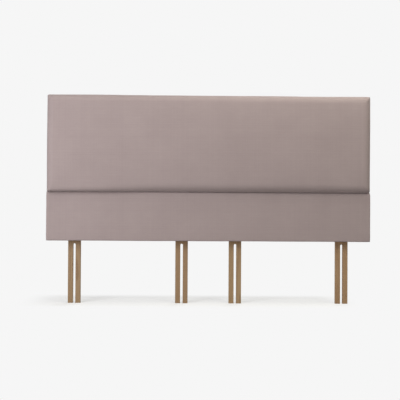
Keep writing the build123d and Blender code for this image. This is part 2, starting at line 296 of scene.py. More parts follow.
def rolled_block(name, low, high, roll, fullness, grid, open_way):
    """A block, open behind and above or below, with its front edges rolled, in an even grid."""
    roll_steps, columns, rows, layers = grid
    roll_end = low.y + roll - hair
    bpy.ops.object.select_all(action="DESELECT")
    bpy.ops.mesh.primitive_cube_add(size=1, location=(low + high) / 2, scale=high - low)
    block = bpy.context.object
    block.name = name
    bpy.ops.object.transform_apply(location=True, rotation=True, scale=True)
    bpy.ops.object.mode_set(mode="EDIT")
    delete_faces(block, lambda centre, normal: normal.y > square_share)
    select_edges(block, lambda a, b, border: max(a.y, b.y) < low.y + hair)
    bpy.ops.mesh.bevel(offset=roll, segments=roll_steps, profile=fullness, affect="EDGES")
    delete_faces(block, lambda centre, normal: normal.z * open_way > square_share and centre.y > roll_end)
    cut_rings(block, 0, columns)
    cut_rings(block, 2, rows)
    cut_rings(block, 1, layers, beyond=roll_end)
    select_edges(
        block,
        lambda a, b, border: runs_along(a, b, 1)
        and min(a.y, b.y) > roll_end
        and min(abs(a.x), abs(b.x)) > high.x - hair
        and min(abs(a.z - low.z), abs(a.z - high.z)) < hair,
    )
    bpy.ops.transform.edge_crease(value=corner_crease)
    bpy.ops.object.mode_set(mode="OBJECT")
    return block


def points_of(piece):
    """A piece's vertices as an array."""
    spots = np.zeros(len(piece.data.vertices) * 3)
    piece.data.vertices.foreach_get("co", spots)
    return spots.reshape(-1, 3)


def ways_of(piece):
    """The way that each vertex of a piece faces."""
    ways = np.zeros(len(piece.data.vertices) * 3)
    piece.data.vertices.foreach_get("normal", ways)
    return ways.reshape(-1, 3)


def set_points(piece, spots):
    """Move a piece's vertices to these places."""
    piece.data.vertices.foreach_set("co", spots.ravel())
    piece.data.update()


def crown(piece, low, high, roll, rise_up, rise_across):
    """Raise the front of a block into a low crown, fading out round its rolled edges."""
    spots = points_of(piece)
    middle, half = (low + high) / 2, (high - low) / 2
    across = 1 - ((spots[:, 0] - middle.x) / half.x) ** 2
    upward = 1 - ((spots[:, 2] - middle.z) / half.z) ** 2
    front = np.clip((low.y + roll - spots[:, 1]) / roll, 0, 1)
    spots[:, 1] -= front * (rise_across * across + rise_up * upward)
    set_points(piece, spots)


def stretch_over_foam(piece, held, pressure, most):
    """Let the cloth swell under the foam's push for some frames, then keep this much of it."""
    start = points_of(piece)
    group = piece.vertex_groups.new(name="held")
    for number, share in enumerate(held):
        group.add([number], float(share), "REPLACE")
    take(piece)
    cloth = piece.modifiers.new("stretch", "CLOTH")
    cloth.settings.quality = 5
    cloth.settings.mass = 0.3
    cloth.settings.tension_stiffness = 30
    cloth.settings.compression_stiffness = 30
    cloth.settings.shear_stiffness = 10
    cloth.settings.bending_stiffness = 2
    cloth.settings.use_pressure = True
    cloth.settings.uniform_pressure_force = pressure
    cloth.settings.effector_weights.gravity = 0
    cloth.settings.vertex_group_mass = "held"
    cloth.collision_settings.use_collision = False
    cloth.point_cache.frame_end = stretch_frames
    for moment in range(1, stretch_frames + 1):
        bpy.context.scene.frame_set(moment)
    bpy.ops.object.modifier_apply(modifier=cloth.name)
    bpy.context.scene.frame_set(1)
    moved = points_of(piece) - start
    set_points(piece, start + moved * most / np.linalg.norm(moved, axis=1).max())
    piece.vertex_groups.clear()


def tighten_roll(piece):
    """Draw the roll above the seam tighter towards the left end, where the cloth is pulled hard."""
    spots = points_of(piece)
    left_end = np.clip((tight_from - spots[:, 0]) / tight_run, 0, 1)
    height = np.clip((spots[:, 2] - seam_height) / pad_roll, 0, 1)
    spots[:, 2] += pad_roll * (height ** (1 + pad_tightness * left_end) - height)
    set_points(piece, spots)


def subdivide_once(piece):
    """One smooth subdivision, applied."""
    take(piece)
    finer = piece.modifiers.new("finer", "SUBSURF")
    finer.levels = finer.render_levels = 1
    finer.boundary_smooth = "PRESERVE_CORNERS"
    bpy.ops.object.modifier_apply(modifier=finer.name)


def pull_by_hand(piece, rises, shift, level):
    """Uneven pull of the cloth: low swells of these heights and widths, none at the seam."""
    spots, ways = points_of(piece), ways_of(piece)
    free = np.clip(np.abs(spots[:, 2] - level) / seam_hold, 0, 1)
    for rise, width in rises:
        swell = [noise.noise(Vector(spot) / width + Vector((shift, 0, 0))) for spot in spots]
        spots += ways * (np.array(swell) * free)[:, None] * rise
    set_points(piece, spots)


def pinch_seam(piece, level, way, seed):
    """Small puckers where the staples hold the cloth at the seam, fading away from it."""
    picker = random.Random(seed)
    spots = points_of(piece)
    pinches = np.arange(-half_width + staple_spacing / 2, half_width, staple_spacing)
    pinches += [picker.uniform(-staple_stray_share, staple_stray_share) * staple_spacing for _ in pinches]
    depths = [picker.uniform(pinch_least_share, 1) * pinch_depth for _ in pinches]
    fade = np.exp(-np.abs(spots[:, 2] - level) / pinch_reach)
    front = np.clip((panel_front - spots[:, 1]) / pinch_front, 0, 1)
    pull = np.zeros(len(spots))
    for place, depth in zip(pinches, depths):
        pull += depth * np.exp(-(((spots[:, 0] - place) / pinch_width) ** 2))
    spots[:, 1] += pull * fade * front
    spots[:, 2] += way * pinch_sink_share * pull * fade * front
    set_points(piece, spots)


def select_side(piece, side, facing, wanted):
    """In edit mode, select just the faces of one side that face out and that the test wants."""
    bpy.ops.mesh.select_mode(type="FACE")
    bpy.ops.mesh.select_all(action="DESELECT")
    form = bmesh.from_edit_mesh(piece.data)
    for face in form.faces:
        face.select_set(face.normal.x * side > facing and wanted(face.calc_center_median()))
    bmesh.update_edit_mesh(piece.data)


def fold_corner(piece, side, level, way, front_end, back_end):
    """Raise the folded layer of cloth that overlaps a cover's side, beside its corner."""
    start = Vector((0, front_end[0], level - way * front_end[1]))
    run = Vector((0, back_end[0], level - way * back_end[1])) - start
    across = Vector((0, run.z, -run.y))
    take(piece)
    bpy.ops.object.mode_set(mode="EDIT")
    select_side(
        piece,
        side,
        facing=0.6,
        wanted=lambda centre: abs(centre.z - level) < fold_reach
        and centre.x * side > half_width - fold_band,
    )
    bpy.ops.mesh.bisect(plane_co=start, plane_no=across)
    select_side(
        piece,
        side,
        facing=0.8,
        wanted=lambda centre: (centre - start).dot(across) * across.z * way > 0
        and centre.x * side > half_width - fold_depth
        and centre.y > start.y,
    )
    bpy.ops.mesh.extrude_region_shrink_fatten(TRANSFORM_OT_shrink_fatten={"value": cloth_thick})
    bpy.ops.object.mode_set(mode="OBJECT")


def form_under(form, name, depth, back, filled):
    """A copy of a form, this far inside it, cut off at its own back and left open or filled."""
    take(form)
    bpy.ops.object.duplicate()
    under = bpy.context.object
    under.name = name
    set_points(under, points_of(under) - ways_of(under) * depth)
    bpy.ops.object.mode_set(mode="EDIT")
    bpy.ops.mesh.select_all(action="SELECT")
    bpy.ops.mesh.bisect(plane_co=(0, back, 0), plane_no=(0, 1, 0), use_fill=filled, clear_outer=True)
    bpy.ops.mesh.select_all(action="SELECT")
    bpy.ops.mesh.normals_make_consistent(inside=False)
    bpy.ops.object.mode_set(mode="OBJECT")
    return under


def turn_margin(piece, wanted, centre, shares):
    """Turn a cover's back edge in over the frame, in rows, with mitred corners."""
    take(piece)
    bpy.ops.object.mode_set(mode="EDIT")
    select_edges(piece, wanted)
    for row in range(margin_rows):
        scale = [
            (1 - (row + 1) * share / margin_rows) / (1 - row * share / margin_rows)
            for share in shares
        ]
        bpy.ops.mesh.extrude_edges_move()
        bpy.ops.transform.resize(value=scale, center_override=centre)
    bpy.ops.object.mode_set(mode="OBJECT")


def carry_on(piece, wanted, moves):
    """Carry a border of the cover on by a few moves."""
    take(piece)
    bpy.ops.object.mode_set(mode="EDIT")
    select_edges(piece, wanted)
    for move in moves:
        bpy.ops.mesh.extrude_edges_move(TRANSFORM_OT_translate={"value": move})
    bpy.ops.object.mode_set(mode="OBJECT")


def fold_at_seam(piece, level, front_edge, flange_front, flange_way, lip_drop):
    """Turn a cover in along the seam: a narrow lip at each side, and a flange in front."""
    for side in (-1, 1):
        carry_on(
            piece,
            lambda a, b, border: border
            and runs_along(a, b, 1)
            and abs(a.z - level) < seam_ease
            and side * a.x > half_width / 2,
            [(-side * side_turn_in, 0, -lip_drop)],
        )
    carry_on(
        piece,
        lambda a, b, border: border
        and runs_along(a, b, 0)
        and abs(a.z - level) < seam_ease
        and a.y < front_edge + seam_ease,
        [(0, flange_front - front_edge, 0), (0, 0, -flange_way)],
    )


def thicken(piece, depth):
    """Give a layer its thickness, inwards, and shade it smooth."""
    take(piece)
    bpy.ops.object.mode_set(mode="EDIT")
    bpy.ops.mesh.select_all(action="SELECT")
    bpy.ops.mesh.normals_make_consistent(inside=False)
    bpy.ops.object.mode_set(mode="OBJECT")
    wall = piece.modifiers.new("cloth", "SOLIDIFY")
    wall.thickness = depth
    wall.offset = -1
    bpy.ops.object.modifier_apply(modifier=wall.name)
    bpy.ops.object.shade_smooth_by_angle(angle=smooth_below)


def lay_threads(piece, low, high, roll):
    """A UV map in metres that runs with the cloth, round the rolls and over the sides."""
    spots = points_of(piece)
    middle, half = (low + high) / 2, (high - low) / 2
    run = spots[:, [0, 2]] - np.array([middle.x, middle.z])
    past = np.abs(run) - (np.array([half.x, half.z]) - roll)
    deep = spots[:, 1] - low.y
    ahead = np.clip(roll - deep, 0, None)[:, None] + least_depth
    round_roll = np.arctan2(np.clip(past, 0, None), ahead)
    wrapped = roll * round_roll + np.clip(deep - roll, 0, None)[:, None]
    turned = np.where(past > 0, np.sign(run) * (np.abs(run) - past + wrapped), run)
    layer = piece.data.uv_layers.new(name="cloth_run")
    for face in piece.data.polygons:
        corners = list(face.vertices)
        side_wise = past[corners].mean(0)
        over_side = side_wise[0] > max(side_wise[1], 0)
        over_top = side_wise[1] > max(side_wise[0], 0)
        for loop, corner in zip(face.loop_indices, corners):
            u = turned[corner, 0] if over_side else run[corner, 0]
            v = turned[corner, 1] if over_top else run[corner, 1]
            layer.data[loop].uv = (u, v)


padded_cover = rolled_block(
    "padded_cover", pad_low, pad_high, pad_roll, pad_fullness, pad_grid, open_way=-1
)
crown(padded_cover, pad_low, pad_high, pad_roll, pad_crown_up, pad_crown_across)
pad_spots = points_of(padded_cover)
pad_held = (pad_spots[:, 1] > pad_low.y + pad_roll - border_ease).astype(float)
stretch_over_foam(padded_cover, pad_held, pressure=0.3, most=pad_swell)
tighten_roll(padded_cover)
subdivide_once(padded_cover)
pull_by_hand(padded_cover, rises=((0.0012, 0.3), (0.0004, 0.07)), shift=3.5, level=seam_height)
pinch_seam(padded_cover, seam_height, way=1, seed=11)
pad_form = form_under(padded_cover, "pad_form", depth=0, back=cover_back + cloth_thick, filled=False)
fold_at_seam(
    padded_cover,
    seam_height,
    front_edge=pad_low.y + pad_roll,
    flange_front=panel_front - cloth_thick,
    flange_way=flange_drop,
    lip_drop=lip_drop_share * cover_gap,
)
turn_margin(
    padded_cover,
    lambda a, b, border: border
    and min(a.y, b.y) > cover_back - border_ease
    and max(a.z, b.z) > seam_height + border_ease,
    (0, cover_back, seam_height),
    (margin_width / half_width, 0, margin_width / (board_top - seam_height)),
)
for side in (-1, 1):
    fold_corner(
        padded_cover,
        side,
        board_top,
        way=1,
        front_end=(-0.02, 0.004),
        back_end=(cover_back, 0.013),
    )
thicken(padded_cover, cloth_thick)
lay_threads(padded_cover, pad_low, pad_high, pad_roll)
padded_cover.data.materials.append(upholstery)
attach(padded_cover, "root")
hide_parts("upper_cover")

# Plain cover of the lower part: the same cloth over thin foam, nearly flat, folded in along
# the seam over a card strip and turned round the frame's sides and bottom.
plain_roll = 0.005
plain_fullness = 0.5
plain_grid = (3, 100, 16, 4)
plain_crown = 0.0015
plain_turn_in = 0.015
plain_block_low = Vector((-half_width, plain_low.y + plain_crown, plain_low.z))
plain_block_high = Vector((half_width, cover_back, plain_high.z))
plain_cover = rolled_block(
    "plain_cover",
    plain_block_low,
    plain_block_high,
    plain_roll,
    plain_fullness,
    plain_grid,
    open_way=1,
)
crown(plain_cover, plain_block_low, plain_block_high, plain_roll, plain_crown, 0)
subdivide_once(plain_cover)
pull_by_hand(plain_cover, rises=((0.0008, 0.3), (0.0003, 0.07)), shift=8.5, level=plain_high.z)
pinch_seam(plain_cover, plain_high.z, way=-1, seed=12)
plain_form = form_under(plain_cover, "plain_form", depth=0, back=cover_back + cloth_thick, filled=False)
fold_at_seam(
    plain_cover,
    plain_high.z,
    front_edge=plain_block_low.y + plain_roll,
    flange_front=panel_front - 2 * cloth_thick,
    flange_way=plain_turn_in,
    lip_drop=0,
)
turn_margin(
    plain_cover,
    lambda a, b, border: border
    and min(a.y, b.y) > cover_back - border_ease
    and min(a.z, b.z) < plain_high.z - border_ease,
    (0, cover_back, plain_high.z),
    (margin_width / half_width, 0, margin_width / (plain_high.z - plain_low.z)),
)
for side in (-1, 1):
    fold_corner(
        plain_cover,
        side,
        plain_low.z,
        way=-1,
        front_end=(-0.006, 0.004),
        back_end=(cover_back, 0.012),
    )
thicken(plain_cover, cloth_thick)
lay_threads(plain_cover, plain_block_low, plain_block_high, plain_roll)
plain_cover.data.materials.append(upholstery)
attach(plain_cover, "root")
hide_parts("lower_cover")

# Wadding: one layer of white polyester fibre under each cover, laid over the foam and its sides. Tangled
# fibres show as fine streaks that run every way, painted darker where they lie low: painted shade among
# the fibres.
wadding_white = (0.78, 0.78, 0.76, 1)
wadding_shade = (0.6, 0.6, 0.59, 1)
wadding_depth = 0.0025
layer_ease = 0.0004
wadding_finish, wadding_tree, wadding_shader = finish_named("polyester_wadding")
wadding_place = node(wadding_tree, "TexCoord").outputs["Object"]
wadding_tufts = node(wadding_tree, "TexNoise", {"Vector": wadding_place, "Scale": 60, "Detail": 5})
tangle = node(
    wadding_tree,
    "TexNoise",
    {"Vector": wadding_place, "Scale": 420, "Detail": 4, "Distortion": 2.5},
)
wadding_tone_and_shade = value_of(wadding_tree, "MULTIPLY", wadding_tufts.outputs[0], tangle.outputs[0])
wadding_tone_and_shade = node(wadding_tree, "MapRange", {0: wadding_tone_and_shade, 1: 0.15, 2: 0.35}).outputs[0]
wadding_tree.links.new(
    mix_of(wadding_tree, wadding_tone_and_shade, wadding_shade, wadding_white), wadding_shader.inputs["Base Color"]
)
wadding_tree.links.new(
    spread_of(wadding_tree, tangle.outputs[0], 0.85, 1), wadding_shader.inputs["Roughness"]
)
wadding_bump = node(wadding_tree, "Bump", {"Height": wadding_tone_and_shade, "Strength": 0.6, "Distance": 0.001})
wadding_tree.links.new(wadding_bump.outputs[0], wadding_shader.inputs["Normal"])

for covered, form in (("upper_wadding", pad_form), ("lower_wadding", plain_form)):
    layer = form_under(
        form,
        f"{covered}_layer",
        depth=cloth_thick + layer_ease,
        back=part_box(covered)[1].y,
        filled=False,
    )
    thicken(layer, wadding_depth)
    layer.data.materials.append(wadding_finish)
    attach(layer, "root")
    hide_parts(covered)

# Foam: a deep block in the padded part and a thin one in the plain part, cut with rolled front edges and
# glued to the plywood. Open cells show all over the cut faces, their hollows painted darker: painted
# shade.
foam_cream = (0.72, 0.66, 0.47, 1)
foam_shade = (0.5, 0.43, 0.27, 1)
cell_size = 0.0012
foam_finish, foam_tree, foam_shader = finish_named("cut_foam")
foam_place = node(foam_tree, "TexCoord").outputs["Object"]
cells = node(foam_tree, "TexVoronoi", {"Vector": foam_place, "Scale": 1 / cell_size}, feature="SMOOTH_F1")
cell_walls = node(foam_tree, "MapRange", {0: cells.outputs["Distance"], 1: 0.25, 2: 0.65}).outputs[0]
yellowing = node(foam_tree, "TexNoise", {"Vector": foam_place, "Scale": 6, "Detail": 3})
yellow_spread = spread_of(foam_tree, yellowing.outputs[0], 0.6, 1.3)
# The hollows of the cells get the darker colour: painted shade, mixed with real yellowing.
foam_tone_and_shade = value_of(foam_tree, "MULTIPLY", cell_walls, yellow_spread)
foam_tree.links.new(mix_of(foam_tree, foam_tone_and_shade, foam_shade, foam_cream), foam_shader.inputs["Base Color"])
foam_tree.links.new(spread_of(foam_tree, cell_walls, 0.95, 0.8), foam_shader.inputs["Roughness"])
foam_bump = node(foam_tree, "Bump", {"Height": cell_walls, "Strength": 0.5, "Distance": 0.0005})
foam_tree.links.new(foam_bump.outputs[0], foam_shader.inputs["Normal"])

foam_depth = cloth_thick + wadding_depth + 2 * layer_ease
for covered, form in (("pad_foam", pad_form), ("plain_foam", plain_form)):
    block = form_under(
        form, f"{covered}_block", depth=foam_depth, back=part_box(covered)[1].y, filled=True
    )
    bpy.ops.object.shade_smooth_by_angle(angle=smooth_below)
    block.data.materials.append(foam_finish)
    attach(block, "root")
    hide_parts(covered)
    bpy.data.objects.remove(form)

# Dust cloth: thin spun-bonded sheet in charcoal, with tiny bond points in a diagonal grid,
# stretched over the open back of the frame and stapled round its edge.
cloth_low, cloth_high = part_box("back_cloth")
cloth_width, cloth_length = cloth_high.x - cloth_low.x, cloth_high.z - cloth_low.z
bond_pitch = 0.0022
bond_reach_share = 0.42
cloth_columns = 177
cloth_rows = 78
settling_steps = 1500
bay_dip = 0.006
ripple_share = 0.5
ripple_length = 0.3
ripple_width = 0.12
spun_dark = (0.012, 0.012, 0.013, 1)
spun_light = (0.045, 0.045, 0.047, 1)
sides = ("outer_left", "inner_left", "inner_right", "outer_right")
frame_uprights = ["frame_left_stile", "frame_right_stile"]
frame_uprights += [f"strut_batten_{side}" for side in sides]
frame_uprights += [f"upper_stud_{place}" for place in ("left", "middle", "right")]
frame_rails = ["frame_bottom_rail", "frame_middle_rail", "frame_top_rail"]
dust_finish, dust_tree, dust_shader = finish_named("spun_bonded_cloth")
dust_place = node(dust_tree, "TexCoord").outputs["Object"]
dust_turn = node(
    dust_tree,
    "Mapping",
    {
        "Vector": dust_place,
        "Rotation": (0, math.pi / 4, 0),
        "Scale": (1 / bond_pitch, 0, 1 / bond_pitch),
    },
)
bonds = node(
    dust_tree, "TexVoronoi", {"Vector": dust_turn.outputs[0], "Scale": 1, "Randomness": 0.05}
)
fibres = node(dust_tree, "TexNoise", {"Vector": dust_place, "Scale": 900, "Detail": 3})
bond_mask = value_of(dust_tree, "LESS_THAN", bonds.outputs["Distance"], bond_reach_share)
fibre_tone = spread_of(dust_tree, fibres.outputs[0], 0, 0.6)
dust_tone = value_of(dust_tree, "MULTIPLY_ADD", bond_mask, 0.35, fibre_tone)
dust_tree.links.new(mix_of(dust_tree, dust_tone, spun_dark, spun_light), dust_shader.inputs["Base Color"])
dust_tree.links.new(spread_of(dust_tree, bond_mask, 0.85, 0.55), dust_shader.inputs["Roughness"])
dust_bump = node(dust_tree, "Bump", {"Height": dust_tone, "Strength": 0.4, "Distance": 0.0002})
dust_tree.links.new(dust_bump.outputs[0], dust_shader.inputs["Normal"])

bpy.ops.object.select_all(action="DESELECT")
bpy.ops.mesh.primitive_grid_add(
    x_subdivisions=cloth_columns,
    y_subdivisions=cloth_rows,
    size=1,
    location=(0, cloth_high.y, (cloth_low.z + cloth_high.z) / 2),
    rotation=(-math.pi / 2, 0, 0),
)
dust_cloth = bpy.context.object
dust_cloth.name = "dust_cloth"
dust_cloth.scale = (cloth_width, cloth_length, 1)
bpy.ops.object.transform_apply(location=True, rotation=True, scale=True)
cloth_spots = points_of(dust_cloth)
open_bay = np.ones(len(cloth_spots), dtype=bool)
for member in frame_uprights + frame_rails:
    member_low, member_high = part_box(member)
    over_across, over_up = (
        (cloth_spots[:, way] > member_low[way]) & (cloth_spots[:, way] < member_high[way])
        for way in (0, 2)
    )
    open_bay &= ~(over_across & over_up)
open_bay = open_bay.reshape(cloth_rows + 1, cloth_columns + 1)[1:-1, 1:-1]
sag = np.zeros((cloth_rows + 1, cloth_columns + 1))
for settling in range(settling_steps):
    beside = (sag[2:, 1:-1] + sag[:-2, 1:-1] + sag[1:-1, 2:] + sag[1:-1, :-2]) / 4
    sag[1:-1, 1:-1] = np.where(open_bay, beside + 1, 0)
ripple = [noise.noise(Vector((x / ripple_length, 0, z / ripple_width))) for x, y, z in cloth_spots]
cloth_spots[:, 1] -= bay_dip * sag.ravel() / sag.max() * (1 + ripple_share * np.array(ripple))
set_points(dust_cloth, cloth_spots)
sheet_wall = dust_cloth.modifiers.new("cloth", "SOLIDIFY")
sheet_wall.thickness = cloth_high.y - cloth_low.y
sheet_wall.offset = -1
bpy.ops.object.modifier_apply(modifier=sheet_wall.name)
bpy.ops.object.shade_smooth_by_angle(angle=smooth_below)
dust_cloth.data.materials.append(dust_finish)
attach(dust_cloth, "root")
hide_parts("back_cloth")

# Struts: four uprights of planed pine, each slotted from its foot and bolted through a batten
# of the frame. The pine is sawn along the trunk and left bare, with growth rings round a pith
# outside the piece, fine fibres and a few pin knots.
pine_light = (0.355, 0.235, 0.125, 1)
pine_dark = (0.205, 0.118, 0.056, 1)
pine_blush = (0.34, 0.17, 0.1, 1)
knot_colour = (0.085, 0.038, 0.017, 1)
knot_edges = (0.1, 0.06)
knot_pull_edges = (0.3, 0.05)

# One value for each strut, from the left end of the board to the right.
strut_piths = ((-0.03, 0.075), (0.05, 0.09), (-0.045, 0.07), (0.02, 0.085))
strut_rings = (0.0042, 0.0034, 0.0047, 0.0038)
strut_warmths = (0.1, 0.2, 0.05, 0.25)
# The struts grow paler towards the right end: painted light, making up for the weaker light that the lamps
# give the right-hand struts.
strut_painted_brightness = (1.0, 1.08, 1.2, 1.32)
knot_shifts = (0, 0, 0.15, 0)

pine_grain, (grain_in, grain_out) = effect(
    "pine_grain",
    [("Vector", "Vector"), ("Ring", "Float")],
    [("Rings", "Float"), ("Fibre", "Float"), ("Knots", "Float")],
)
grain_place = grain_in.outputs["Vector"]
sway_place = node(pine_grain, "Mapping", {"Vector": grain_place, "Scale": (9, 9, 1.6)})
sway = node(pine_grain, "TexNoise", {"Vector": sway_place.outputs[0], "Scale": 1, "Detail": 2})
sway_move = node(
    pine_grain,
    "VectorMath",
    {0: sway.outputs["Color"], 1: (0.02, 0.02, 0), 2: grain_place},
    operation="MULTIPLY_ADD",
)
knot_place = node(pine_grain, "Mapping", {"Vector": grain_place, "Scale": (11, 11, 3.1)})
knot_cells = node(pine_grain, "TexVoronoi", {"Vector": knot_place.outputs[0], "Scale": 1})
knots, knot_pull = (
    node(
        pine_grain,
        "MapRange",
        {0: knot_cells.outputs["Distance"], 1: outer, 2: inner},
        interpolation_type="SMOOTHSTEP",
    )
    for outer, inner in (knot_edges, knot_pull_edges)
)
grain_cross = node(pine_grain, "SeparateXYZ", {0: sway_move.outputs[0]})
trunk_x, trunk_y = (
    value_of(pine_grain, "POWER", value_of(pine_grain, "ABSOLUTE", way), 2)
    for way in grain_cross.outputs[:2]
)
trunk_radius = value_of(pine_grain, "SQRT", value_of(pine_grain, "ADD", trunk_x, trunk_y))
ring_count = value_of(
    pine_grain,
    "ADD",
    value_of(pine_grain, "DIVIDE", trunk_radius, grain_in.outputs["Ring"]),
    value_of(pine_grain, "MULTIPLY", knot_pull.outputs[0], 1.2),
)
ring_share = value_of(pine_grain, "FRACT", ring_count)
late_wood = node(
    pine_grain, "MapRange", {0: ring_share, 1: 0.25, 2: 0.9}, interpolation_type="SMOOTHSTEP"
)
early_again = node(pine_grain, "MapRange", {0: ring_share, 1: 1.0, 2: 0.93})
rings = value_of(pine_grain, "MULTIPLY", late_wood.outputs[0], early_again.outputs[0])
fibre_place = node(pine_grain, "Mapping", {"Vector": grain_place, "Scale": (700, 700, 9)})
fibre = node(pine_grain, "TexNoise", {"Vector": fibre_place.outputs[0], "Scale": 1, "Detail": 3})
pine_grain.links.new(rings, grain_out.inputs["Rings"])
pine_grain.links.new(fibre.outputs[0], grain_out.inputs["Fibre"])
pine_grain.links.new(knots.outputs[0], grain_out.inputs["Knots"])


def pine_finish(name, pith, ring, turn=(0, 0, 0), warmth=0.0, roughness=0.6, painted_brightness=1.0):
    """Pine for one piece, with its own pith, ring width and tint, and a brightness that paints light into
    its colour.
    """
    made, tree, shader = finish_named(name)
    place = node(
        tree,
        "Mapping",
        {"Vector": node(tree, "TexCoord").outputs["Object"], "Location": pith, "Rotation": turn},
    )
    grain = use_effect(tree, pine_grain, {"Vector": place.outputs[0], "Ring": ring})
    shade = value_of(tree, "MULTIPLY", grain.outputs["Rings"], 0.48)
    shade = value_of(tree, "ADD", shade, spread_of(tree, grain.outputs["Fibre"], -0.12, 0.34))
    # Both wood colours are scaled by the painted brightness: painted light.
    early_tone, late_tone = (
        tuple(painted_brightness * part for part in colour[:3]) + (1,) for colour in (pine_light, pine_dark)
    )
    wood = mix_of(tree, node(tree, "Clamp", {0: shade}).outputs[0], early_tone, late_tone)
    wood = mix_of(tree, warmth, wood, pine_blush)
    wood = mix_of(tree, grain.outputs["Knots"], wood, knot_colour)
    tree.links.new(wood, shader.inputs["Base Color"])
    tree.links.new(
        spread_of(tree, grain.outputs["Fibre"], roughness - 0.1, roughness + 0.15),
        shader.inputs["Roughness"],
    )
    relief = value_of(tree, "MULTIPLY_ADD", grain.outputs["Rings"], 0.5, grain.outputs["Fibre"])
    bump = node(tree, "Bump", {"Height": relief, "Strength": 0.35, "Distance": 0.0003})
    tree.links.new(bump.outputs[0], shader.inputs["Normal"])
    return made


def dress(node_name, finish):
    """Give a CAD piece its finish."""
    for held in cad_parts[node_name].material_slots:
        held.material = finish


for side, pith, ring, warmth, painted_brightness, knot_shift in zip(
    sides, strut_piths, strut_rings, strut_warmths, strut_painted_brightness, knot_shifts
):
    low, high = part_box(f"strut_{side}")
    centre = (low + high) / 2
    shift = (pith[0] - centre.x, pith[1] - centre.y, knot_shift)
    finish = pine_finish(f"pine_strut_{side}", shift, ring, warmth=warmth, painted_brightness=painted_brightness)
    dress(f"strut_{side}", finish)

# Frame: rails, stiles, battens and studs of sawn pine, rougher than the struts, behind the
# covers. The grain of the rails runs along the board, and that of the others upright.
frame_pith_side = 0.02
frame_pith_depth = 0.05
frame_pith_step = 0.01
frame_ring = 0.0035
frame_ring_step = 0.0003
frame_warmth_step = 0.08
frame_roughness = 0.75
for number, member in enumerate(frame_uprights + frame_rails):
    low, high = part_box(member)
    centre = (low + high) / 2
    is_rail = member in frame_rails
    middle = Vector((centre.z if is_rail else -centre.x, -centre.y, 0))
    pith_depth = frame_pith_depth + frame_pith_step * (number % 4)
    pith = Vector((frame_pith_side * math.cos(number), pith_depth, 0))
    finish = pine_finish(
        f"pine_{member}",
        middle + pith,
        frame_ring + frame_ring_step * (number % 5),
        turn=(0, math.pi / 2, 0) if is_rail else (0, 0, 0),
        warmth=frame_warmth_step * (number % 3),
        roughness=frame_roughness,
    )
    dress(member, finish)

# Dowels: turned beech pegs glued into the frame's joints, two to each. Beech is pale
# pink-brown with short dark flecks.
beech_pale = (0.52, 0.34, 0.21, 1)
beech_dark = (0.36, 0.21, 0.12, 1)
beech, beech_tree, beech_shader = finish_named("beech")
beech_stretch = node(
    beech_tree,
    "Mapping",
    {"Vector": node(beech_tree, "TexCoord").outputs["Object"], "Scale": (60, 900, 900)},
)
flecks = node(beech_tree, "TexNoise", {"Vector": beech_stretch.outputs[0], "Scale": 1, "Detail": 3})
fleck_mask = node(beech_tree, "MapRange", {0: flecks.outputs[0], 1: 0.55, 2: 0.68}).outputs[0]
beech_tree.links.new(
    mix_of(beech_tree, fleck_mask, beech_pale, beech_dark), beech_shader.inputs["Base Color"]
)
beech_tree.links.new(spread_of(beech_tree, flecks.outputs[0], 0.5, 0.7), beech_shader.inputs["Roughness"])
beech_bump = node(beech_tree, "Bump", {"Height": flecks.outputs[0], "Strength": 0.3, "Distance": 0.0002})
beech_tree.links.new(beech_bump.outputs[0], beech_shader.inputs["Normal"])
dress("frame_dowels", beech)

# Plywood front: thin softwood plies, crossed and glued, rotary-cut so that the face shows
# broad waves of grain, and the edge shows the plies in turn.
ply_count = 7
ply_ring = 0.012
ply_pale = (0.5, 0.35, 0.2, 1)
ply_brown = (0.24, 0.14, 0.075, 1)
panel_low, panel_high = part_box("front_panel")
ply_thick = (panel_high.y - panel_low.y) / ply_count
plywood, ply_tree, ply_shader = finish_named("softwood_plywood")
ply_place = node(ply_tree, "TexCoord").outputs["Object"]
ply_turn = node(
    ply_tree,
    "Mapping",
    {"Vector": ply_place, "Rotation": (0, math.pi / 2, 0), "Location": (-0.2, 0.05, 0)},
)
ply_grain = use_effect(ply_tree, pine_grain, {"Vector": ply_turn.outputs[0], "Ring": ply_ring})
ply_fibre = spread_of(ply_tree, ply_grain.outputs["Fibre"], -0.1, 0.3)
ply_face = value_of(ply_tree, "MULTIPLY_ADD", ply_grain.outputs["Rings"], 0.5, ply_fibre)
ply_depth = node(ply_tree, "SeparateXYZ", {0: ply_place}).outputs["Y"]
ply_run = value_of(ply_tree, "SUBTRACT", ply_depth, panel_low.y)
ply_number = value_of(ply_tree, "FLOOR", value_of(ply_tree, "DIVIDE", ply_run, ply_thick))
ply_turned = value_of(ply_tree, "FLOORED_MODULO", ply_number, 2)
ply_edge = value_of(ply_tree, "MULTIPLY_ADD", ply_turned, 0.55, 0.15)
face_way = node(ply_tree, "SeparateXYZ", {0: node(ply_tree, "NewGeometry").outputs["Normal"]}).outputs["Y"]
on_face = value_of(ply_tree, "GREATER_THAN", value_of(ply_tree, "ABSOLUTE", face_way), 0.7)
ply_tone = node(ply_tree, "Mix", {0: on_face, 2: ply_edge, 3: ply_face}).outputs[0]
ply_share = node(ply_tree, "Clamp", {0: ply_tone}).outputs[0]
ply_tree.links.new(mix_of(ply_tree, ply_share, ply_pale, ply_brown), ply_shader.inputs["Base Color"])
ply_roughness = spread_of(ply_tree, ply_grain.outputs["Fibre"], 0.6, 0.85)
ply_tree.links.new(ply_roughness, ply_shader.inputs["Roughness"])
ply_bump = node(ply_tree, "Bump", {"Height": ply_tone, "Strength": 0.3, "Distance": 0.0003})
ply_tree.links.new(ply_bump.outputs[0], ply_shader.inputs["Normal"])
dress("front_panel", plywood)

